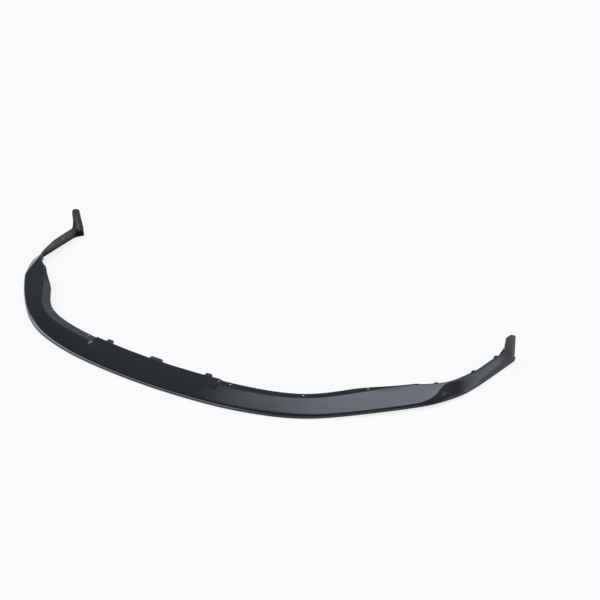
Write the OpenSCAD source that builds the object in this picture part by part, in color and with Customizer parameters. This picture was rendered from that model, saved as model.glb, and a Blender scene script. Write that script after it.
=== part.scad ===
// Front splitter lip: one thin moulding that runs round the lower edge of a bumper.
// X runs across the car, Y towards the rear, Z up. The lip stands on its lower edge, and the
// origin is on the ground under the middle of its plan.

/* [Plan of the lower edge] */
// Radius of the middle stretch
middle_r = 2300; // [1800:50:3000]
// Turn of the middle stretch, from the centre line, in degrees
middle_turn = 6.1; // [5.5:0.1:6.5]
// Radius of the stretch beside the middle
flank_r = 1090; // [1000:10:1200]
// Turn of that stretch
flank_turn = 10.9; // [10:0.1:12]
// Radius of the bend that leads to the corner
bend_r = 536; // [520:2:560]
// Turn of that bend
bend_turn = 19.9; // [19:0.1:20.5]
// Radius of the long stretch to the corner
side_r = 1330; // [1200:10:1500]
// Turn of that stretch
side_turn = 10.5; // [9.5:0.5:11.5]
// Radius where the corner begins
corner_r = 302; // [280:2:320]
// Turn of that first part of the corner
corner_turn = 14.6; // [13.8:0.1:16]
// Radius of the tight part of the corner
shoulder_r = 222; // [204:2:240]
// Turn of the tight part
shoulder_turn = 22; // [21:0.2:23]
// Radius of the arm behind the corner
arm_r = 3440; // [3200:20:3800]
// Turn of the arm
arm_turn = 3.6; // [3.4:0.1:4]

/* [Moulding] */
// Wall of the moulding
wall = 3; // [2.5:0.1:3.4]
// Height of the upright nose along the lower edge
nose_h = 13; // [10:0.5:16]
// How far the nose leans back at its top
nose_lean = 1.5; // [0.5:0.5:3]
// Radius under the nose
nose_r = 4; // [3.6:0.1:5]
// Width of the folded return below the face
return_w = 22; // [16:1:28]
// Width of what is left of it under the arms
arm_return_w = 5; // [4.5:0.5:8]
// How far the lower edge rises off the ground towards the corners
corner_rise = 6; // [0:1:9]
// Where it begins to rise, past the start of the bend
rise_from = 60; // [40:5:90]
// Where it has risen, past the end of the bend
rise_to = 160; // [130:5:190]

/* [Face] */
// Width of the face from the lower edge to the rear edge, in the middle
middle_w = 76; // [68:1:84]
// Height of the rear edge in the middle
middle_h = 45; // [43:1:50]
// Crown of the middle face over a flat one
middle_crown = 3; // [1:0.5:4]
// Width of the face from the lower edge to the crease, beside the middle
flank_w = 50; // [46:1:54]
// The same at the bend, where it is narrowest
bend_w = 45; // [42:1:48]
// The same before the corner, where it is widest
side_w = 73; // [68:1:78]
// Where the face begins to widen, past the start of the bend
widen_from = 80; // [60:5:110]
// Where it is widest, past the end of the bend
widen_to = 190; // [160:5:220]
// Height of the crease between face and flange
crease_h = 41.5; // [40:0.5:43]

/* [Flange] */
// Height of the flange that the screws hold
flange_h = 40; // [38:0.5:41]
// Width of the flange beside the middle
flange_w = 27; // [22:1:30]
// Width of the flange at its outer end
flange_end_w = 7; // [6:1:12]
// Where the flange begins to narrow, past the end of the bend
narrow_from = 50; // [30:5:80]
// Length of the ramp down from the middle face to the flange
ramp_len = 12; // [9:1:20]
// Diameter of a screw hole
hole_d = 7; // [5:0.5:8]
// Distance from a hole's centre to the edge of the flange
hole_inset = 7.5; // [6.5:0.5:9]
// Place of the first hole, past the top of the ramp
first_hole = 43; // [30:1:60]
// Place of the second hole, past the start of the bend
second_hole = 92; // [70:1:110]
// Place of the third hole, past the end of the bend
third_hole = 108; // [90:1:125]

/* [Arm] */
// Height of the arm's top edge
arm_h = 43.5; // [42:0.5:50]
// How far the arm's wall leans in, behind the corner
arm_lean = 13.5; // [11:0.5:18]
// Width of the rim along the top edge
rim_w = 4; // [3.5:0.5:6]

/* [Fin] */
// Height of the fin
fin_h = 96; // [86:1:105]
// Height of the fin's rear top corner
fin_rear_h = 83; // [76:1:85]
// Length of the fin from the foot of its swept edge to the rear
fin_len = 60; // [54:1:68]
// Length of the swept front edge
sweep_len = 22; // [18:1:28]
// How far the fin's top leans outward from the lower edge
fin_flare = 3.5; // [1:0.5:6]
// Width of the foot that the return widens into under the fin
foot_w = 26; // [14:1:28]
// Length of the fin from the foot's widest place to the rear
foot_back = 22; // [18:1:30]
// Radius of the fin's lower rear corner
heel_r = 8; // [4:0.5:10]

/* [Tabs] */
// Width of the middle tab
middle_tab_w = 44; // [36:1:52]
// Width of the side tabs
side_tab_w = 20; // [16:1:24]
// Distance between the side tabs
side_tab_spacing = 394; // [360:2:420]
// How far the middle tab stands out behind the rear edge
middle_tab_out = 13; // [10:1:16]
// How far the side tabs stand out
side_tab_out = 14; // [10:1:17]
// Depth of a tab's hooked end
tab_drop = 8; // [6:1:10]
// Width of the tongues on the arms
tongue_w = 12; // [9:1:14]
// How far they point inward
tongue_out = 8; // [6:1:10]

/* [Hidden] */
$fn = 32;
abs_black = [0.05, 0.05, 0.055];
// how far tabs and tongues reach into the wall that carries them
tab_root = 2.2;

// The lower edge is a chain of tangent arcs, right of the centre line.
arcs = [[middle_r, middle_turn], [flank_r, flank_turn], [bend_r, bend_turn], [side_r, side_turn],
        [corner_r, corner_turn], [shoulder_r, shoulder_turn], [arm_r, arm_turn]];
function arc_len(a) = a[0] * a[1] * PI / 180;
function turn_before(i) = i == 0 ? 0 : turn_before(i - 1) + arcs[i - 1][1];
function len_before(i) = i == 0 ? 0 : len_before(i - 1) + arc_len(arcs[i - 1]);
function arc_step(r, a, b) = r * [sin(b) - sin(a), cos(a) - cos(b)];
function start_of(i) = i == 0 ? [0, 0]
    : start_of(i - 1) + arc_step(arcs[i - 1][0], turn_before(i - 1), turn_before(i));
starts = [for (i = [0:len(arcs) - 1]) start_of(i)];
turns = [for (i = [0:len(arcs)]) turn_before(i)];
lens = [for (i = [0:len(arcs)]) len_before(i)];
total = lens[len(arcs)];
function arc_at(s, i = 0) = (i == len(arcs) - 1 || s < lens[i + 1]) ? i : arc_at(s, i + 1);
// heading, in degrees, and place of the lower edge at s millimetres from the centre line,
// first from its own front, then from the origin
function heading(s) = let (i = arc_at(s)) turns[i] + (s - lens[i]) / arcs[i][0] * 180 / PI;
function front_edge(s) = let (i = arc_at(s)) starts[i] + arc_step(arcs[i][0], turns[i], heading(s));
front_y = -front_edge(total).y / 2;
function edge(s) = front_edge(s) + [0, front_y];
// a point u inside the lower edge and v above the ground, at s
function place(s, u, v) = let (h = heading(s), e = edge(s)) [e.x - u * sin(h), e.y + u * cos(h), v];

// Where the section changes, measured along the lower edge.
ramp_s = lens[1] + 8;
flange_start_s = ramp_s + ramp_len;
flange_end_s = lens[4] + 17;
corner_s = lens[4];
wall_s = lens[5] + 8;
arm_s = lens[6] + 60;
fin_s = total - fin_len;
// the fold between arm and fin keeps so far below the swept edge, and behind it falls to this height
// within this length
fold_below = 5;
fold_low = heel_r + nose_r + 1;
fold_fall = 22;
// rounding of the fin's front top corner
brow = 10;

function mix(a, b, t) = a + (b - a) * t;
function clamp(t) = min(1, max(0, t));
function ramp(s, a, b) = clamp((s - a) / (b - a));
function ease(s, a, b) = let (t = ramp(s, a, b)) t * t * (3 - 2 * t);

// widths and heights of the section, as smooth runs between the named sizes
function rise(s) = heel(s)
    + corner_rise * (ease(s, lens[2] + rise_from, lens[3] + rise_to) - ease(s, lens[5], arm_s));
function crease_u(s) = mix(flank_w, bend_w, ease(s, lens[1], lens[2] + 50))
    + (side_w - bend_w) * ease(s, lens[2] + widen_from, lens[3] + widen_to)
    - (side_w - arm_lean) * pow(ramp(s, lens[4] - 50, arm_s), 0.9) * ease(s, lens[4] - 80, lens[5] + 40);
function edge_v(s) = mix(crease_h, arm_h, ease(s, lens[5] + 30, fin_s));
function flange_u(s) = mix(flange_w, flange_end_w, ease(s, lens[3] + narrow_from, flange_end_s - 45));
// the return widens into the fin's foot, which is cut off aslant towards the rear
function foot_share(s) = pow(ramp(s, fin_s + 4, total - foot_back), 2) * ramp(s, total, total - foot_back);
function under(s) = mix(return_w, arm_return_w, ease(s, lens[4] - 40, arm_s))
    + (foot_w - arm_return_w) * foot_share(s);
// the lower edge turns up round the fin's rear corner
function heel(s) = let (t = ramp(s, total - heel_r, total)) heel_r * (1 - sqrt(1 - t * t * 0.98));

// Heights of the fin's crest and of the fold below it, and how far the crest leans in
function sweep(t) = 1 - sqrt(1 - 0.998 * pow(t, 1.6));
function fin_top(s) = arm_h + (fin_h - brow - arm_h) * sweep(ramp(s, fin_s, fin_s + sweep_len)) / sweep(1)
    + brow * sqrt(1 - pow(1 - ramp(s, fin_s + sweep_len, fin_s + sweep_len + 12), 2))
    - (fin_h - fin_rear_h) * pow(ramp(s, fin_s + sweep_len + 15, total), 1.8);
function fold_v(s) = let (
        start = fin_s + sweep_len,
        fall = mix(arm_h, fold_low, ramp(s, start, start + fold_fall)))
    min(fin_top(s) - fold_below, max(fall, heel(s) + nose_r + 4));
function fin_lean(s) = mix(arm_lean * 0.9, -fin_flare, ease(s, fin_s - 4, fin_s + sweep_len + 14));

// One section as points [u, v] from the return below, round the nose, to the rear or top edge.
function nose(s) = let (r = rise(s), k = nose_r * (1 - sqrt(0.5)))
    [[under(s), r], [nose_r, r], [k, r + k], [0, r + nose_r]];
// share of the section's height that the upright nose takes: it grows into the arm's whole wall
function wall_share(s) = ease(s, corner_s + 12, wall_s);
function crown(t) = 4 * t * (1 - t);
function span(a, b, n, bulge) = [for (i = [1:n]) let (t = i / (n + 1))
    mix(a, b, t) + [-bulge, bulge] * crown(t)];

function middle_section(s) = let (
        top = [nose_lean, rise(s) + nose_h],
        rear = [middle_w, middle_h],
        crease = mix(top, rear, (flank_w - nose_lean) / (middle_w - nose_lean)) + [-0.3, 1] * middle_crown * 0.9)
    concat(nose(s), span([0, nose_r + rise(s)], top, 2, 0.3), [top],
        [for (i = [1:3]) mix(top, crease, i / 4) + [-0.3, 1] * middle_crown * 0.35 * crown(i / 4)],
        [crease, mix(crease, rear, 0.5) + [0, 0.25 * middle_crown], rear]);

function side_section(s) = let (
        w = wall_share(s),
        crease = [crease_u(s), edge_v(s)],
        foot = [0, nose_r + rise(s)],
        low = [nose_lean, rise(s) + nose_h],
        high = mix(foot, crease, 0.9),
        top = mix(low, high, w),
        fl = mix(flange_u(s), rim_w, ramp(s, flange_end_s - 3, flange_end_s + 2)),
        rear_v = mix(flange_h, edge_v(s), ramp(s, flange_end_s - 30, flange_end_s)),
        rear = [crease.x + fl, rear_v])
    concat(nose(s), span(foot, top, 2, 0.3 + 1.2 * w), [top], span(top, crease, 3, 1.2 * (1 - w) + 0.4 * w),
        [crease, mix(crease, rear, 0.5), rear]);

// the fin's rim is as much wider as the wall below it leans
function fin_section(s) = let (
        foot = [0, nose_r + rise(s)],
        fold = [(fold_v(s) - nose_r) / (arm_h - nose_r) * arm_lean, fold_v(s)],
        crest = [fin_lean(s), fin_top(s)],
        slope = max(0, (fold.x - crest.x) / (crest.y - fold.y)),
        rear = crest + [rim_w + wall * slope, 0])
    concat(nose(s), [mix(foot, fold, 0.5), fold], [for (i = [1:4]) mix(fold, crest, i / 5)],
        [crest, mix(crest, rear, 0.5), rear]);

function arm_to_fin(s) = ramp(s, fin_s - 8, fin_s);
function section(s) =
    s <= ramp_s ? middle_section(s)
    : s < flange_start_s ? mix(middle_section(s), side_section(s), ramp(s, ramp_s, flange_start_s))
    : s < fin_s - 8 ? side_section(s)
    : mix(side_section(s), fin_section(s), arm_to_fin(s));

// Each point moves in by the wall, along the mean normal of its two neighbours.
function unit(v) = v / norm(v);
function left_of(d) = [-d.y, d.x];
function moved_in(p) = [for (i = [0:len(p) - 1]) let (
        a = unit(p[i] - p[max(0, i - 1)] + (i == 0 ? p[1] - p[0] : [0, 0])),
        b = unit(p[min(len(p) - 1, i + 1)] - p[i] + (i == len(p) - 1 ? p[i] - p[i - 1] : [0, 0])),
        m = unit(left_of(a) + left_of(b)))
    p[i] - m * wall / max(0.6, m * left_of(b))];
// The inner points stay in order above the nose, and below and behind the corner of a narrow rim.
function inset(p) = let (
        q = moved_in(p), k = len(p) - 3, step = wall / 8,
        rim = [max(q[k + 2].x, q[k].x + step), q[k + 2].y])
    [for (i = [0:len(p) - 1])
        i == k + 2 ? rim
        : i == k + 1 && norm(p[k + 2] - p[k]) < 3 * wall ? mix(q[k], rim, 0.5)
        : i == 3 ? [q[i].x, max(q[i].y, q[2].y + step)]
        : i > 3 && i < k ? [q[i].x, min(q[i].y, q[k].y - step * (k - i))]
        : q[i]];
function ring(s) = let (p = section(s), q = inset(p)) concat(p, [for (i = [len(q) - 1:-1:0]) q[i]]);

// Stations lie closer together where the section or the plan turns quickly.
function run(a, b, step) = let (n = max(1, ceil((b - a) / step))) [for (i = [0:n - 1]) mix(a, b, i / n)];
right_s = concat(run(0, ramp_s, 35), [ramp_s], run(flange_start_s, lens[2], 26), run(lens[2], lens[3], 17),
    run(lens[3], corner_s - 8, 26), run(corner_s - 8, flange_end_s - 3, 6),
    [flange_end_s - 3], run(flange_end_s + 2, lens[5], 7), run(lens[5], lens[6], 8), run(lens[6], fin_s - 8, 24),
    run(fin_s - 8, fin_s + sweep_len - 6, 4), run(fin_s + sweep_len - 6, fin_s + sweep_len, 1.5),
    run(fin_s + sweep_len, total - heel_r, 4), run(total - heel_r, total, 1.6), [total]);
count = len(right_s);
// the left half repeats the right one, mirrored
function right_ring(i) = [for (q = ring(right_s[i])) place(right_s[i], q.x, q.y)];
right_rings = [for (i = [0:count - 1]) right_ring(i)];
function flip(r) = [for (p = r) [-p.x, p.y, p.z]];
rings = concat([for (i = [count - 1:-1:1]) flip(right_rings[i])], right_rings);
n = len(rings[0]);
half = n / 2;

module shell() {
    pts = [for (r = rings) each r];
    last = len(rings) - 1;
    function id(i, j) = i * n + (j % n);
    skin = [for (i = [0:last - 1]) for (j = [0:n - 1])
        each [[id(i, j), id(i, j + 1), id(i + 1, j)], [id(i, j + 1), id(i + 1, j + 1), id(i + 1, j)]]];
    function cap(i, turn) = [for (j = [0:half - 2])
        let (a = id(i, j), b = id(i, j + 1), c = id(i, n - 2 - j), d = id(i, n - 1 - j))
        each turn ? [[a, d, c], [a, c, b]] : [[a, c, d], [a, b, c]]];
    polyhedron(points = pts, faces = concat(skin, cap(0, true), cap(last, false)), convexity = 8);
}

// Screw holes, by their station and the flange's own edge
hole_s = [ramp_s + first_hole, lens[2] + second_hole, lens[3] + third_hole];
function hole_place(s) = place(s, crease_u(s) + flange_u(s) - hole_inset, flange_h);
module screw_holes() {
    for (s = hole_s) for (side = [-1, 1]) let (p = hole_place(s))
        translate([side * p.x, p.y, p.z - 3 * wall]) cylinder(h = 6 * wall, d = hole_d);
}

// A hooked tab that stands out behind the rear edge of the middle. It starts inside the wall's end.
module hooked_tab(width, out) {
    top = -0.4 * wall;
    translate([-width / 2, -tab_root, top - wall]) cube([width, tab_root + out, wall]);
    translate([-width / 2, out - wall, top - tab_drop]) cube([width, wall, tab_drop]);
    for (x = [-width / 2, width / 2 - wall])
        translate([x, -tab_root, top - tab_drop]) cube([wall, tab_root + out, tab_drop]);
}
function rear_edge_s(x, s = 0) = place(s, middle_w, 0).x >= x ? s : rear_edge_s(x, s + 2);
module rear_tabs() {
    translate([0, front_y + middle_w, middle_h]) hooked_tab(middle_tab_w, middle_tab_out);
    for (side = [-1, 1]) let (s = rear_edge_s(side_tab_spacing / 2))
        translate([side * side_tab_spacing / 2, place(s, middle_w, 0).y, middle_h])
            hooked_tab(side_tab_w, side_tab_out);
}

// Tongues on the arm's top edge point inward, from the middle of the rim's thickness.
tongue_t = 0.7 * wall;
tongue_s = [lens[5] - 2, lens[6] + 46, fin_s - 10];
module arm_tongues() {
    for (s = tongue_s) for (side = [0, 1]) mirror([side, 0, 0]) {
        p = place(s, crease_u(s) + rim_w - tab_root, edge_v(s) - tongue_t - (wall - tongue_t) / 2);
        translate(p) rotate([0, 0, heading(s)]) translate([-tongue_w / 2, 0, 0])
            cube([tongue_w, tongue_out, tongue_t]);
    }
}

module front_lip() {
    color(abs_black) difference() {
        union() {
            shell();
            rear_tabs();
            arm_tongues();
        }
        screw_holes();
    }
}

front_lip();
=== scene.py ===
from math import ceil, cos, pi, radians, sin, sqrt

import bmesh
import bpy
from mathutils import Matrix, Vector


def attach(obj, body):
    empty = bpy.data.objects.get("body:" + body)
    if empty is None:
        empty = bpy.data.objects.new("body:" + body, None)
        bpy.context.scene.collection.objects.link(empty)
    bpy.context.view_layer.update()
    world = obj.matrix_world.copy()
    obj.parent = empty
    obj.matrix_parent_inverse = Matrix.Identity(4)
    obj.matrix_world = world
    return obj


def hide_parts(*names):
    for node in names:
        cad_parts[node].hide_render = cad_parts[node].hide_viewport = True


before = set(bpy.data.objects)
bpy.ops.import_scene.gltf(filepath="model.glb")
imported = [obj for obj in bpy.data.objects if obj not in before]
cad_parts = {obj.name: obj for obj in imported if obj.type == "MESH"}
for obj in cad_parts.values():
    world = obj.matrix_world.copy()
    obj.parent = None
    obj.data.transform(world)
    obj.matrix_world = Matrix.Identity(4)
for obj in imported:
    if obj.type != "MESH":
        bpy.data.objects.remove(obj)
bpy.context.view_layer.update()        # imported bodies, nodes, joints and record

mm = 0.001

# Front splitter lip, one moulded sheet, in millimetres. A name that ends in S is a place along the
# lower edge, from the centre line on. On a section u runs in from that edge and v runs up.
lip = {
    # radius and turn in degrees of the edge: middle, flank, bend, side, corner, shoulder and arm
    "arcs": ((2300, 6.1), (1090, 10.9), (536, 19.9), (1330, 10.5),
             (302, 14.6), (222, 22), (3440, 3.6)),
    "wall": 3,
    # upright nose, and the return that is folded in below it
    "noseH": 13, "noseLean": 3, "noseR": 4, "noseParts": (0.15, 0.4), "noseBulge": 0.3,
    "returnW": 22, "armReturnW": 5, "returnBefore": 40,
    "cornerRise": 6, "riseFrom": 60, "riseTo": 160,
    # middle face with its crown, the steeper wedge before the ramp, and the ramp
    "middleW": 76, "middleH": 45, "middleCrown": 3, "crownLean": -0.3,
    "creaseCrown": 0.9, "faceCrown": 0.35, "rearCrown": 0.25,     # shares of the crown
    "wedgeLen": 95, "wedgeSoft": 36, "rampAfter": 8, "rampLen": 12,
    # face at the sides, up to the crease
    "flankW": 50, "bendW": 45, "bendTo": 50, "sideW": 73, "widenFrom": 80, "widenTo": 190,
    "creaseH": 41.5, "faceParts": (0.25, 0.5, 0.75), "faceBulge": 1.2,
    # flange that the screws hold
    "flangeH": 40, "flangeW": 27, "flangeEndW": 7, "narrowFrom": 50, "narrowBefore": 45,
    "flangeAfter": 17, "flangeCutFrom": 3, "flangeCutTo": 2, "flangeLift": 30,
    # arm, where the face has turned into an upright wall with a band along its foot
    "armH": 43.5, "armLean": 13.5, "armAfter": 60, "armBulge": 0.4, "rimW": 4, "liftAfter": 30,
    "fallFrom": 50, "fallPower": 0.9, "fallSoftFrom": 80, "fallSoftTo": 40,
    "wallGrow": 112, "wallPower": 1.8, "wallTop": 0.9,
    "bandLean": 0.8, "bandH": 8.5, "bandRunOut": 20,
    # fin, its fold and its foot
    "finH": 96, "finRearH": 83, "finLen": 60, "finBlend": 8, "rearFallFrom": 15, "rearFallPower": 1.8,
    "sweepLen": 22, "sweepPower": 1.6, "brow": 10, "browLen": 12,
    "finFlare": 3.5, "flareBefore": 4, "flareAfter": 14,
    "foldBelow": 5, "foldFall": 22, "foldAbove": 4, "foldClear": 1,
    "footW": 26, "footAfter": 4, "footBack": 22, "heelR": 8,
    # rounding of the edges, the points that each corner of a section gets, and the shading
    "edgeR": 0.9,            # the rims, which a mould leaves a little soft
    "creaseR": 1.8,
    "noseEdgeR": 5, "shoulderR": 15, "shoulderTo": 60,            # the nose rolls over into the face
    "softShare": 0.26, "edgeShare": 0.42,
    "rollShares": ((0.26, 0.2), (0.75, 0.42)),                    # room for the roll above the nose
    "steps": [5, 3, 3, 3, 2, 2, 9, 2, 2, 2, 5, 2, 5],
    "sharpAngle": 38, "faceWeight": 50,
}


def clamp(t):
    return min(1.0, max(0.0, t))


def ramp(s, a, b):
    return clamp((s - a) / (b - a))


def ease(s, a, b):
    t = ramp(s, a, b)
    return t * t * (3 - 2 * t)


def mix(a, b, t):
    return a + (b - a) * t


# Running length, turn and start of each arc
lens, turns, starts = [0.0], [0.0], [Vector((0, 0))]
for arcR, arcTurn in lip["arcs"]:
    a, b = radians(turns[-1]), radians(turns[-1] + arcTurn)
    starts.append(starts[-1] + arcR * Vector((sin(b) - sin(a), cos(a) - cos(b))))
    lens.append(lens[-1] + arcR * (b - a))
    turns.append(turns[-1] + arcTurn)
frontY = -starts[-1].y / 2


def heading(s):
    i = max(k for k in range(len(lip["arcs"])) if s >= lens[k] or k == 0)
    return radians(turns[i]) + (s - lens[i]) / lip["arcs"][i][0], i


def place(s, u, v):
    h, i = heading(s)
    r, a = lip["arcs"][i][0], radians(turns[i])
    x = starts[i].x + r * (sin(h) - sin(a)) - u * sin(h)
    y = frontY + starts[i].y + r * (cos(a) - cos(h)) + u * cos(h)
    return Vector((x, y, v)) * mm


# Where each arc starts, and where the section changes
flankS, bendS, sideS, cornerS, shoulderS, armS, total = lens[1:]
rampS = flankS + lip["rampAfter"]
flangeStartS = rampS + lip["rampLen"]
flangeEndS = cornerS + lip["flangeAfter"]
wallS = cornerS + lip["wallGrow"]
fullArmS = armS + lip["armAfter"]
finS = total - lip["finLen"]
sweepEndS = finS + lip["sweepLen"]


def heel(s):
    # the lower edge turns up at the fin's rear, and stops just short of upright
    almost = 0.98
    t = ramp(s, total - lip["heelR"], total)
    return lip["heelR"] * (1 - sqrt(1 - t * t * almost))


def rise(s):
    lift = ease(s, bendS + lip["riseFrom"], sideS + lip["riseTo"]) - ease(s, shoulderS, fullArmS)
    return lip["cornerRise"] * lift + heel(s)


def creaseU(s):
    u = mix(lip["flankW"], lip["bendW"], ease(s, flankS, bendS + lip["bendTo"]))
    widen = ease(s, bendS + lip["widenFrom"], sideS + lip["widenTo"])
    u += (lip["sideW"] - lip["bendW"]) * widen
    fall = ramp(s, cornerS - lip["fallFrom"], fullArmS) ** lip["fallPower"]
    fall *= ease(s, cornerS - lip["fallSoftFrom"], shoulderS + lip["fallSoftTo"])
    return u - (lip["sideW"] - lip["armLean"]) * fall


def edgeV(s):
    return mix(lip["creaseH"], lip["armH"], ease(s, shoulderS + lip["liftAfter"], finS))


def flangeU(s):
    narrow = ease(s, sideS + lip["narrowFrom"], flangeEndS - lip["narrowBefore"])
    return mix(lip["flangeW"], lip["flangeEndW"], narrow)


def under(s):
    # the return widens into the fin's foot, which is cut off aslant towards the rear
    w = mix(lip["returnW"], lip["armReturnW"], ease(s, cornerS - lip["returnBefore"], fullArmS))
    back = total - lip["footBack"]
    foot = (lip["footW"] - lip["armReturnW"]) * ramp(s, finS + lip["footAfter"], back) ** 2
    return w + foot * ramp(s, total, back)


def sweep(t):
    # the swept edge starts level and stops just short of upright
    almost = 0.998
    return 1 - sqrt(1 - almost * t ** lip["sweepPower"])


def finTop(s):
    swept = sweep(ramp(s, finS, sweepEndS))
    up = (lip["finH"] - lip["brow"] - lip["armH"]) * swept / sweep(1)
    over = 1 - ramp(s, sweepEndS, sweepEndS + lip["browLen"])
    rearFall = ramp(s, sweepEndS + lip["rearFallFrom"], total) ** lip["rearFallPower"]
    fall = (lip["finH"] - lip["finRearH"]) * rearFall
    return lip["armH"] + up + lip["brow"] * sqrt(1 - over * over) - fall


def foldV(s):
    low = lip["heelR"] + lip["noseR"] + lip["foldClear"]
    fall = mix(lip["armH"], low, ramp(s, sweepEndS, sweepEndS + lip["foldFall"]))
    least = heel(s) + lip["noseR"] + lip["foldAbove"]
    return min(finTop(s) - lip["foldBelow"], max(fall, least))


def finLean(s):
    flare = ease(s, finS - lip["flareBefore"], sweepEndS + lip["flareAfter"])
    return mix(lip["armLean"] * lip["wallTop"], -lip["finFlare"], flare)


def nose(s):
    r, k = rise(s), lip["noseR"] * (1 - sqrt(0.5))
    return [Vector((under(s), r)), Vector((lip["noseR"], r)),
            Vector((k, r + k)), Vector((0, r + lip["noseR"]))]


def span(a, b, parts, bulge):
    # points at the given parts of the way from a to b, on a crowned line
    return [mix(a, b, t) + Vector((-bulge, bulge)) * 4 * t * (1 - t) for t in parts]


def blend(p, q, t):
    return [mix(a, b, t) for a, b in zip(p, q)]


def upright(t):
    return Vector((lip["bandLean"], lip["bandH"])) * t


def middleSection(s):
    crown = lip["middleCrown"]
    crownWay = Vector((lip["crownLean"], 1))
    foot = Vector((0, lip["noseR"] + rise(s)))
    top = Vector((lip["noseLean"], rise(s) + lip["noseH"]))
    rear = Vector((lip["middleW"], lip["middleH"]))
    share = (lip["flankW"] - lip["noseLean"]) / (lip["middleW"] - lip["noseLean"])
    crease = mix(top, rear, share) + crownWay * crown * lip["creaseCrown"]
    # towards the ramp the face takes the side's steeper slope, first beside the nose
    steep = span(top, Vector((lip["flankW"], lip["creaseH"])), lip["faceParts"], lip["faceBulge"])
    face = []
    for t, q in zip(lip["faceParts"], steep):
        p = mix(top, crease, t) + crownWay * crown * lip["faceCrown"] * 4 * t * (1 - t)
        end = rampS - lip["wedgeLen"] * (1 - t)
        face.append(mix(p, q, ease(s, end - lip["wedgeSoft"], end)))
    half = mix(crease, rear, 0.5) + Vector((0, lip["rearCrown"] * crown))
    noseFace = span(foot, top, lip["noseParts"], lip["noseBulge"])
    return nose(s) + noseFace + [top] + face + [crease, half, rear]


def sideSection(s):
    w = ramp(s, cornerS, wallS) ** lip["wallPower"]   # the nose grows into the arm's whole wall
    crease = Vector((creaseU(s), edgeV(s)))
    foot = Vector((0, lip["noseR"] + rise(s)))
    noseTop = Vector((lip["noseLean"], rise(s) + lip["noseH"]))
    top = mix(noseTop, mix(foot, crease, lip["wallTop"]), w)
    # at its end the flange is cut back to the arm's rim, and lifts to the level of the crease
    cutS = flangeEndS - lip["flangeCutFrom"]
    cut = ramp(s, cutS, flangeEndS + lip["flangeCutTo"])
    level = ramp(s, flangeEndS - lip["flangeLift"], flangeEndS)
    rear = Vector((crease.x + mix(flangeU(min(s, cutS)), lip["rimW"], cut),
                   mix(lip["flangeH"], edgeV(s), level)))
    face = span(top, crease, lip["faceParts"], lip["faceBulge"] * (1 - w) + lip["armBulge"] * w)
    # an upright band stays along the foot of the wall
    noseFace = span(foot, top, lip["noseParts"], lip["noseBulge"])
    band = blend(noseFace, [foot + upright(0.5), foot + upright(1)], w)
    return nose(s) + band + [top] + face + [crease, mix(crease, rear, 0.5), rear]


def finSection(s):
    foot = Vector((0, lip["noseR"] + rise(s)))
    foldU = (foldV(s) - lip["noseR"]) / (lip["armH"] - lip["noseR"]) * lip["armLean"]
    fold = Vector((foldU, foldV(s)))
    crest = Vector((finLean(s), finTop(s)))
    # the rim is as much wider as the wall below it leans
    slope = max(0, (fold.x - crest.x) / (crest.y - fold.y))
    rear = crest + Vector((lip["rimW"] + lip["wall"] * slope, 0))
    blade = [mix(fold, crest, i / 5) for i in (1, 2, 3, 4)]
    # the arm's upright band runs out at the start of the fin
    runOut = ease(s, finS, finS + lip["bandRunOut"])
    lower = mix(foot + upright(1), mix(foot, fold, 0.5), runOut)
    return nose(s) + [lower, fold] + blade + [crest, mix(crest, rear, 0.5), rear]


def section(s):
    if s <= rampS:
        return middleSection(s)
    if s < flangeStartS:
        return blend(middleSection(s), sideSection(s), ease(s, rampS, flangeStartS))
    blendS = finS - lip["finBlend"]
    if s < blendS:
        return sideSection(s)
    return blend(sideSection(s), finSection(s), ramp(s, blendS, finS))


def inset(p):
    # every point goes in by the wall, along the mean normal of its two neighbours
    leastTurn = 0.6          # keeps the inner point of a sharp corner from going in too far
    out, last = [], len(p) - 1
    for i, q in enumerate(p):
        a = (p[i] - p[i - 1] if i else p[1] - p[0]).normalized()
        b = (p[i + 1] - p[i] if i < last else p[i] - p[i - 1]).normalized()
        na, nb = Vector((-a.y, a.x)), Vector((-b.y, b.x))
        m = (na + nb).normalized()
        out.append(q - m * lip["wall"] / max(leastTurn, m.dot(nb)))
    # the inner points stay in order above the nose, and below and behind the corner of a narrow rim
    step = lip["wall"] / 8
    narrowRim = 3 * lip["wall"]
    out[-1].x = max(out[-1].x, out[-3].x + step)
    if (p[-1] - p[-3]).length < narrowRim:
        out[-2] = mix(out[-3], out[-1], 0.5)
    out[3].y = max(out[3].y, out[2].y + step)
    for i in range(4, last - 2):
        out[i].y = min(out[i].y, out[-3].y - step * (last - 2 - i))
    return out


def rounded(points, radii, steps, shares):
    # each corner of a closed outline becomes a short curve of the given reach
    out, n = [], len(points)
    for i, p in enumerate(points):
        a, b = points[i - 1] - p, points[(i + 1) % n] - p
        la, lb = a.length, b.length
        shareA, shareB = shares[i]
        reachA, reachB = min(radii[i], shareA * la), min(radii[i], shareB * lb)
        start, end = p + a * (reachA / la), p + b * (reachB / lb)
        for k in range(steps[i]):
            t = k / (steps[i] - 1)
            out.append(start * (1 - t) ** 2 + p * 2 * t * (1 - t) + end * t * t)
    return out


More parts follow.
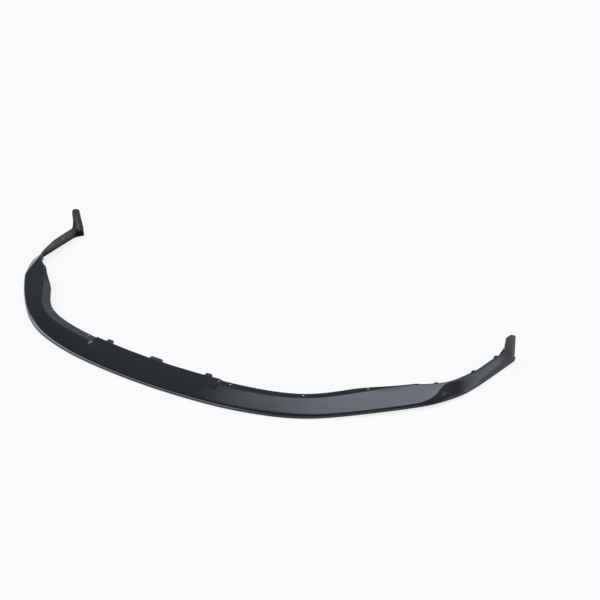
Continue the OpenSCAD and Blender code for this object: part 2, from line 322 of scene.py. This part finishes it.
def ring(s):
    p = section(s)
    q = inset(p)
    soft, rim = 99.0, lip["edgeR"]     # a soft corner takes all that its share of the faces gives
    roll = ease(s, cornerS, cornerS + lip["shoulderTo"])
    noseEdge = mix(lip["noseEdgeR"], lip["shoulderR"], roll)
    creaseEdge = soft if s < rampS else lip["creaseR"]
    if s > flangeEndS:
        creaseEdge = rim
    radii = [rim] + [soft] * 5 + [noseEdge] + [soft] * 3 + [creaseEdge, soft, rim]
    # the free ends of the moulding are rounded too, by drawing both skins towards its middle
    end = clamp((total - s) / lip["edgeR"])
    pull = 0.5 * lip["edgeR"] / lip["wall"] * (1 - sqrt(1 - (1 - end) ** 2))
    skins = blend(p, q, pull) + blend(q, p, pull)[::-1]
    # equal shares on both sides of a soft corner give even strips
    shares = [(lip["softShare"] if r == soft else lip["edgeShare"],) * 2 for r in radii]
    shares[5], shares[6] = lip["rollShares"]
    back = [(b, a) for a, b in shares[::-1]]
    steps = lip["steps"] + lip["steps"][::-1]
    return rounded(skins, radii + radii[::-1], steps, shares + back)


# Distance between the rings of the mesh, and how far fine rings reach past the form they are for
spacing = {
    "middle": 8, "wedge": 3, "ramp": 1.2, "face": 5, "bend": 4, "corner": 2.5, "flangeEnd": 0.8,
    "arm": 4, "fin": 1.2, "heel": 0.7, "edge": 0.2,
    "past": 6, "pastCorner": 8, "pastFin": 10, "pastWedge": 140,
}


def stations(stretches):
    # every stretch runs on from the last one to its own end, in even steps
    out, start = [], 0
    for end, step in stretches:
        n = max(1, ceil((end - start) / step))
        out += [mix(start, end, i / n) for i in range(n)]
        start = end
    return out + [start]


rightS = stations((
    (rampS - spacing["pastWedge"], spacing["middle"]),
    (rampS - spacing["past"], spacing["wedge"]),
    (flangeStartS + spacing["past"], spacing["ramp"]),
    (bendS, spacing["face"]),
    (sideS, spacing["bend"]),
    (cornerS - spacing["pastCorner"], spacing["face"]),
    (flangeEndS - spacing["past"], spacing["corner"]),
    (flangeEndS + spacing["past"], spacing["flangeEnd"]),
    (armS, spacing["corner"]),
    (finS - spacing["pastFin"], spacing["arm"]),
    (total - lip["heelR"], spacing["fin"]),
    (total - lip["edgeR"], spacing["heel"]),
    (total, spacing["edge"]),
))


def lipMesh():
    right = [[place(s, p.x, p.y) for p in ring(s)] for s in rightS]
    left = [[Vector((-p.x, p.y, p.z)) for p in r] for r in right[:0:-1]]
    rings = left + right
    n = len(rings[0])
    outerN = n // 2
    rimN = 2                 # strips at each rim that count as the outside
    verts = [p for r in rings for p in r]
    faces, slots = [], []
    for i in range(len(rings) - 1):
        for j in range(n):
            k = (j + 1) % n
            faces.append((i * n + j, (i + 1) * n + j, (i + 1) * n + k, i * n + k))
            slots.append(1 if outerN - rimN <= j < n - rimN else 0)
    # the ends are closed between the outer and the inner skin, point by point
    for base, flip in ((0, False), ((len(rings) - 1) * n, True)):
        for j in range(outerN - 1):
            quad = (base + j, base + j + 1, base + n - 2 - j, base + n - 1 - j)
            faces.append(quad[::-1] if flip else quad)
            slots.append(0)
    mesh = bpy.data.meshes.new("frontLip")
    mesh.from_pydata(verts, [], faces)
    mesh.validate()
    mesh.update()
    for side in ("outside", "inside"):
        mesh.materials.append(None)    # a place for each material, kept through the joining
    for poly, slotIndex in zip(mesh.polygons, slots):
        poly.material_index = slotIndex
    return mesh


def newObject(name, data):
    o = bpy.data.objects.new(name, data)
    bpy.context.scene.collection.objects.link(o)
    return o


def softBox(bm, low, high, edgeR, matrix):
    # a moulded block between two corners in mm, with rounded edges
    size = Vector(high) - Vector(low)
    middle = (Vector(high) + Vector(low)) / 2
    shape = Matrix.Translation(middle) @ Matrix.Diagonal((*size, 1))
    made = bmesh.ops.create_cube(bm, size=1, matrix=shape)
    edges = list({e for v in made["verts"] for e in v.link_edges})
    done = bmesh.ops.bevel(bm, geom=edges, offset=edgeR, segments=2, profile=0.5, affect="EDGES")
    verts = {v for f in done["faces"] for v in f.verts} | {v for v in made["verts"] if v.is_valid}
    bmesh.ops.transform(bm, matrix=Matrix.Scale(mm, 4) @ matrix, verts=list(verts))


def meshObject(name, bm):
    bmesh.ops.recalc_face_normals(bm, faces=bm.faces)
    mesh = bpy.data.meshes.new(name)
    bm.to_mesh(mesh)
    bm.free()
    return newObject(name, mesh)


def blockObjects(name, boxes, edgeR, matrix):
    # the blocks of one tab or tongue, each its own closed solid until they are joined
    blocks = []
    for low, high in boxes:
        bm = bmesh.new()
        softBox(bm, low, high, edgeR, matrix)
        blocks.append(meshObject(name, bm))
    return blocks


def mirrored(matrix):
    return Matrix.Diagonal((-1, 1, 1, 1)) @ matrix


def combine(target, tools, operation):
    group = bpy.data.collections.new(operation)
    for t in tools:
        bpy.context.scene.collection.objects.unlink(t)
        group.objects.link(t)
    bpy.context.scene.collection.children.link(group)
    mod = target.modifiers.new(operation, "BOOLEAN")
    mod.operation = operation
    mod.operand_type = "COLLECTION"
    mod.collection = group
    mod.solver = "MANIFOLD"
    dg = bpy.context.evaluated_depsgraph_get()
    mesh = bpy.data.meshes.new_from_object(target.evaluated_get(dg))
    target.modifiers.clear()
    target.data = mesh
    for t in tools:
        bpy.data.objects.remove(t)
    bpy.data.collections.remove(group)


print("lip: shell")
body = newObject("frontLip", lipMesh())

# Hooked tabs behind the rear edge of the middle
tabs = {
    "middleW": 44, "sideW": 20, "spacing": 394, "middleOut": 13, "sideOut": 14, "drop": 8,
    "sink": 0.4,             # share of the wall that a tab's top lies below the rear edge
    "hookBelow": 0.3, "root": 2.2, "edgeR": 0.6,
}


def rearEdgeS(x):
    step, s = 2, 0.0
    while place(s, lip["middleW"], 0).x < x * mm:
        s += step
    return s


def hookedTab(width, out, matrix):
    top, wall, drop, root = -tabs["sink"] * lip["wall"], lip["wall"], tabs["drop"], tabs["root"]
    hookTop = top - tabs["hookBelow"]
    boxes = [((-width / 2, -root, top - wall), (width / 2, out, top)),
             ((-width / 2, out - wall, top - drop), (width / 2, out, hookTop))]
    for x in (-width / 2, width / 2 - wall):
        boxes.append(((x, -root, top - drop), (x + wall, out, hookTop)))
    return blockObjects("tab", boxes, tabs["edgeR"], matrix)


print("lip: tabs and tongues")
middleAt = Matrix.Translation((0, frontY + lip["middleW"], lip["middleH"]))
added = hookedTab(tabs["middleW"], tabs["middleOut"], middleAt)
tabX = tabs["spacing"] / 2
tabY = place(rearEdgeS(tabX), lip["middleW"], 0).y / mm
tabAt = Matrix.Translation((tabX, tabY, lip["middleH"]))
for m in (tabAt, mirrored(tabAt)):
    added += hookedTab(tabs["sideW"], tabs["sideOut"], m)

# Tongues that point inward from the arm's rim
tongues = {
    "w": 12, "out": 8, "t": 2.1, "root": 2.2, "edgeR": 0.5,
    "beforeShoulder": 2, "pastArm": 46, "beforeFin": 10,
}


def standing(s, u, v):
    # x along the edge, y inward, z up, at a place of the edge
    return Matrix.Translation(place(s, u, v) / mm) @ Matrix.Rotation(heading(s)[0], 4, "Z")


tongueBox = ((-tongues["w"] / 2, 0, 0), (tongues["w"] / 2, tongues["out"], tongues["t"]))
for s in (shoulderS - tongues["beforeShoulder"], armS + tongues["pastArm"],
          finS - tongues["beforeFin"]):
    u = creaseU(s) + lip["rimW"] - tongues["root"]
    v = edgeV(s) - (lip["wall"] + tongues["t"]) / 2
    at = standing(s, u, v)
    for m in (at, mirrored(at)):
        added += blockObjects("tongue", [tongueBox], tongues["edgeR"], m)
combine(body, added, "UNION")

# Screw holes in the flange
holes = {
    "d": 7, "inset": 7.5, "first": 43, "second": 92, "third": 108,
    "chamfer": 0.5, "sides": 40, "reach": 3,     # reach of the cutter past the sheet
}


def holeCutter(x, y, z):
    # a bore whose rims are broken by a small chamfer
    r, c, wall, reach = holes["d"] / 2, holes["chamfer"], lip["wall"], holes["reach"]
    rows = [(r + reach, z - wall - reach + c), (r, z - wall + c), (r, z - c),
            (r + reach, z + reach - c)]
    sides = holes["sides"]
    angles = [2 * pi * k / sides for k in range(sides)]
    bm = bmesh.new()
    rings = [[bm.verts.new(Vector((x + q * cos(a), y + q * sin(a), v)) * mm) for a in angles]
             for q, v in rows]
    for lower, upper in zip(rings, rings[1:]):
        for k in range(sides):
            j = (k + 1) % sides
            bm.faces.new((lower[k], lower[j], upper[j], upper[k]))
    bm.faces.new(rings[0][::-1])
    bm.faces.new(rings[-1])
    return meshObject("holeCutter", bm)


print("lip: screw holes")
cutters = []
for s in (rampS + holes["first"], bendS + holes["second"], sideS + holes["third"]):
    at = place(s, creaseU(s) + flangeU(s) - holes["inset"], lip["flangeH"]) / mm
    cutters += [holeCutter(side * at.x, at.y, at.z) for side in (-1, 1)]
combine(body, cutters, "DIFFERENCE")


def linear(hexCode):
    # sRGB hex to the linear colour that a socket takes
    out = []
    for k in (0, 2, 4):
        c = int(hexCode[k:k + 2], 16) / 255
        out.append(c / 12.92 if c <= 0.04045 else ((c + 0.055) / 1.055) ** 2.4)
    return (*out, 1.0)


def addNode(tree, kind, settings=(), inputs=()):
    # an input takes a plain value, or another node's output, which is linked to it
    node = tree.nodes.new(kind)
    for key, value in dict(settings).items():
        setattr(node, key, value)
    for key, value in dict(inputs).items():
        if isinstance(value, bpy.types.NodeSocket):
            tree.links.new(value, node.inputs[key])
        else:
            node.inputs[key].default_value = value
    return node


def newMaterial(name):
    mat = bpy.data.materials.new(name)
    mat.use_nodes = True
    mat.node_tree.nodes.clear()
    return mat, mat.node_tree


# Gloss black ABS, injection moulded against a polished cavity: a deep black body under a
# clear, almost mirror-like skin, with a faint long waviness where the melt shrank.
glossAbs = {
    "colour": "0C0C0F", "ior": 1.53, "roughness": 0.07, "roughnessSpread": 0.03,
    "wavesMm": 70, "wavesHeight": 0.02,       # long shrink waves, in mm
    "peelMm": 9, "peelHeight": 0.0012,        # real peel is 2 mm long, drawn coarser to show
    "noiseDetail": 1.0, "noiseRange": (0.3, 0.7),
}


def glossMaterial(look):
    mat, tree = newMaterial("gloss black injection-moulded ABS")
    where = addNode(tree, "ShaderNodeTexCoord").outputs["Object"]
    waves = addNode(tree, "ShaderNodeTexNoise", inputs={
        "Vector": where, "Scale": 1 / (look["wavesMm"] * mm), "Detail": look["noiseDetail"]})
    peel = addNode(tree, "ShaderNodeTexNoise", inputs={
        "Vector": where, "Scale": 1 / (look["peelMm"] * mm), "Detail": look["noiseDetail"]})
    wavesBump = addNode(tree, "ShaderNodeBump", inputs={
        "Strength": 1.0, "Distance": look["wavesHeight"] * mm, "Height": waves.outputs["Fac"]})
    peelBump = addNode(tree, "ShaderNodeBump", inputs={
        "Strength": 1.0, "Distance": look["peelHeight"] * mm, "Height": peel.outputs["Fac"],
        "Normal": wavesBump.outputs["Normal"]})
    low = look["roughness"] - look["roughnessSpread"] / 2
    spread = addNode(tree, "ShaderNodeMapRange", inputs={
        "Value": waves.outputs["Fac"],
        "From Min": look["noiseRange"][0], "From Max": look["noiseRange"][1],
        "To Min": low, "To Max": low + look["roughnessSpread"]})
    skin = addNode(tree, "ShaderNodeBsdfPrincipled", inputs={
        "Base Color": linear(look["colour"]), "IOR": look["ior"],
        "Roughness": spread.outputs["Result"], "Normal": peelBump.outputs["Normal"]})
    addNode(tree, "ShaderNodeOutputMaterial", inputs={"Surface": skin.outputs["BSDF"]})
    return mat


# The same ABS on the cavity's other side, blasted and unpolished: a dull, mottled black.
backAbs = {
    "colour": "141517", "ior": 1.53, "roughness": 0.34, "roughnessSpread": 0.2,
    "specular": 0.3,                          # the pits of the blasting swallow part of the shine
    "mottleMm": 14, "mottleDetail": 3.0, "mottleRange": (0.35, 0.65),
    "grainMm": 3.5, "grainDetail": 2.0, "grainHeight": 0.05,   # real grain is 0.2 mm, drawn coarser
}


def backMaterial(look):
    mat, tree = newMaterial("blasted black ABS inside")
    where = addNode(tree, "ShaderNodeTexCoord").outputs["Object"]
    mottle = addNode(tree, "ShaderNodeTexNoise", inputs={
        "Vector": where, "Scale": 1 / (look["mottleMm"] * mm), "Detail": look["mottleDetail"]})
    grain = addNode(tree, "ShaderNodeTexNoise", inputs={
        "Vector": where, "Scale": 1 / (look["grainMm"] * mm), "Detail": look["grainDetail"]})
    bump = addNode(tree, "ShaderNodeBump", inputs={
        "Strength": 1.0, "Distance": look["grainHeight"] * mm, "Height": grain.outputs["Fac"]})
    low = look["roughness"] - look["roughnessSpread"] / 2
    spread = addNode(tree, "ShaderNodeMapRange", inputs={
        "Value": mottle.outputs["Fac"],
        "From Min": look["mottleRange"][0], "From Max": look["mottleRange"][1],
        "To Min": low, "To Max": low + look["roughnessSpread"]})
    skin = addNode(tree, "ShaderNodeBsdfPrincipled", inputs={
        "Base Color": linear(look["colour"]), "IOR": look["ior"],
        "Specular IOR Level": look["specular"],
        "Roughness": spread.outputs["Result"], "Normal": bump.outputs["Normal"]})
    addNode(tree, "ShaderNodeOutputMaterial", inputs={"Surface": skin.outputs["BSDF"]})
    return mat


print("materials")
body.data.materials[0] = glossMaterial(glossAbs)
body.data.materials[1] = backMaterial(backAbs)
body.data.shade_smooth()
body.data.set_sharp_from_angle(angle=radians(lip["sharpAngle"]))
weighted = body.modifiers.new("faceNormals", "WEIGHTED_NORMAL")
weighted.keep_sharp = True
weighted.weight = lip["faceWeight"]
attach(body, "root")
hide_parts("front_lip")

# White seamless paper on the floor: it gives the plain background and keeps the shadow.
paper = {"size": 60, "colour": "EDE8E2", "glow": 0.8}     # size in metres


def paperMaterial(look):
    mat, tree = newMaterial("white seamless paper")
    path = addNode(tree, "ShaderNodeLightPath").outputs
    seen = path["Is Camera Ray"]
    for ray in ("Is Glossy Ray", "Is Transmission Ray"):
        either = addNode(tree, "ShaderNodeMath", {"operation": "MAXIMUM"}, {0: seen, 1: path[ray]})
        seen = either.outputs[0]
    share = addNode(tree, "ShaderNodeMath", {"operation": "MULTIPLY"}, {0: seen, 1: look["glow"]})
    dull = addNode(tree, "ShaderNodeBsdfDiffuse", inputs={"Color": linear(look["colour"])})
    glow = addNode(tree, "ShaderNodeEmission", inputs={"Strength": 1.0})
    both = addNode(tree, "ShaderNodeMixShader", inputs={
        0: share.outputs[0], 1: dull.outputs[0], 2: glow.outputs[0]})
    addNode(tree, "ShaderNodeOutputMaterial", inputs={"Surface": both.outputs[0]})
    return mat


print("studio: floor")
half = paper["size"] / 2
floorMesh = bpy.data.meshes.new("floor")
floorMesh.from_pydata([(-half, -half, 0), (half, -half, 0), (half, half, 0), (-half, half, 0)],
                      [], [(0, 1, 2, 3)])
floor = newObject("floor", floorMesh)
floor.data.materials.append(paperMaterial(paper))

# The room that the gloss mirrors. An edge of a light is a measure of the direction, then where the
# light is nothing and where it is full. The measures are z, the run sideways or rearward over the
# height, and how far the direction points towards a compass turn, 1 being straight at it.
room = {
    "tint": "E4EFFF",
    "wallLow": 0.16, "wallRise": 0.5, "wallPower": 1.5, "leastZ": 0.05,   # paler higher up
    "turns": {"right": 25, "frontLeft": -140, "front": -80, "rearLeft": 140, "besideRear": 230},
    "lights": {
        # narrow upright strip at the rear left
        "strip": {"joins": "ADD", "strength": 0.36, "run": "SMOOTHSTEP", "edges": (
            ("rearLeft", 0.2, 0.5), ("z", 0.62, 0.50),
            ("besideRear", -0.12, -0.07), ("besideRear", 0.12, 0.07))},
        # pale wall on the right
        "pale": {"joins": "MAXIMUM", "strength": 2.4, "run": "LINEAR", "edges": (
            ("right", 0.55, 1.0),)},
        # long low light at the front left
        "low": {"joins": "MAXIMUM", "strength": 4.6, "run": "SMOOTHSTEP", "edges": (
            ("frontLeft", 0.58, 0.92), ("z", 0.34, 0.18))},
        # weaker glow beside it, straight in front
        "glow": {"joins": "MAXIMUM", "strength": 1.2, "run": "SMOOTHSTEP", "edges": (
            ("front", 0.3, 0.8), ("z", 0.34, 0.18))},
    },
    # wide soft light overhead, brighter towards the right and the rear
    "overhead": 3.7, "along": (3.0, 1.6, 0), "overheadLeast": 1.5, "overheadMost": 5.5,
    "overheadEdges": (("z", 0.1, 0.2), ("runX", -0.72, -0.44), ("runX", 0.26, 0.20),
                      ("runY", -0.75, -0.45), ("runY", 0.62, 0.42)),
}


def roomWorld(look):
    world = bpy.data.worlds.new("studioRoom")
    world.use_nodes = True
    tree = world.node_tree
    tree.nodes.clear()
    way = addNode(tree, "ShaderNodeTexCoord").outputs["Generated"]
    z = addNode(tree, "ShaderNodeSeparateXYZ", inputs={0: way}).outputs[2]
    height = addNode(tree, "ShaderNodeMath", {"operation": "MAXIMUM"},
                     {0: z, 1: look["leastZ"]}).outputs[0]
    run = addNode(tree, "ShaderNodeVectorMath", {"operation": "DIVIDE"},
                  {0: way, 1: height}).outputs["Vector"]
    runs = addNode(tree, "ShaderNodeSeparateXYZ", inputs={0: run}).outputs
    measures = {"z": z, "runX": runs[0], "runY": runs[1]}
    for name, turn in look["turns"].items():
        straight = (cos(radians(turn)), sin(radians(turn)), 0)
        towards = addNode(tree, "ShaderNodeVectorMath", {"operation": "DOT_PRODUCT"},
                          {0: way, 1: straight})
        measures[name] = towards.outputs["Value"]

    def shaped(strength, interpolation, edges):
        # a light of the given strength that fades out at each of its edges
        for name, nothing, full in edges:
            edge = addNode(tree, "ShaderNodeMapRange", {"interpolation_type": interpolation},
                           {"Value": measures[name], "From Min": nothing, "From Max": full})
            faded = addNode(tree, "ShaderNodeMath", {"operation": "MULTIPLY"},
                            {0: strength, 1: edge.outputs[0]})
            strength = faded.outputs[0]
        return strength

    risen = addNode(tree, "ShaderNodeMath", {"operation": "POWER"},
                    {0: height, 1: look["wallPower"]})
    around = addNode(tree, "ShaderNodeMath", {"operation": "MULTIPLY_ADD"},
                     {0: risen.outputs[0], 1: look["wallRise"], 2: look["wallLow"]}).outputs[0]
    for light in look["lights"].values():
        shape = shaped(light["strength"], light["run"], light["edges"])
        around = addNode(tree, "ShaderNodeMath", {"operation": light["joins"]},
                         {0: around, 1: shape}).outputs[0]

    # the overhead light covers what is behind it
    cover = shaped(1.0, "SMOOTHSTEP", look["overheadEdges"])
    along = addNode(tree, "ShaderNodeVectorMath", {"operation": "DOT_PRODUCT"},
                    {0: run, 1: look["along"]})
    plain = addNode(tree, "ShaderNodeMath", {"operation": "ADD"},
                    {0: along.outputs["Value"], 1: look["overhead"]})
    above = addNode(tree, "ShaderNodeClamp", inputs={
        "Value": plain.outputs[0], "Min": look["overheadLeast"], "Max": look["overheadMost"]})
    uncovered = addNode(tree, "ShaderNodeMath", {"operation": "SUBTRACT"}, {0: 1.0, 1: cover})
    walls = addNode(tree, "ShaderNodeMath", {"operation": "MULTIPLY"},
                    {0: around, 1: uncovered.outputs[0]})
    strength = addNode(tree, "ShaderNodeMath", {"operation": "MULTIPLY_ADD"},
                       {0: above.outputs[0], 1: cover, 2: walls.outputs[0]})
    sky = addNode(tree, "ShaderNodeBackground", inputs={
        "Color": linear(look["tint"]), "Strength": strength.outputs[0]})
    addNode(tree, "ShaderNodeOutputWorld", inputs={"Surface": sky.outputs[0]})
    return world


print("studio: room")
bpy.context.scene.world = roomWorld(room)

# Long lens from the front right, looking down by 28 degrees
camera = {
    "at": (3.3901, -3.481271, 2.6717),
    "right": (0.78101, 0.61874, -0.08476), "up": (-0.23395, 0.4157, 0.8789),
    "lens": 109.11, "sensor": 36,
}

print("studio: camera")
camData = bpy.data.cameras.new("camera")
camData.lens, camData.sensor_width = camera["lens"], camera["sensor"]
cam = newObject("camera", camData)
right, up = Vector(camera["right"]).normalized(), Vector(camera["up"]).normalized()
up = (up - right * up.dot(right)).normalized()
back = right.cross(up)
rows = [(right[i], up[i], back[i], camera["at"][i]) for i in range(3)]
cam.matrix_world = Matrix(rows + [(0, 0, 0, 1)])
bpy.context.scene.camera = cam
bpy.context.scene.view_settings.view_transform = "Standard"
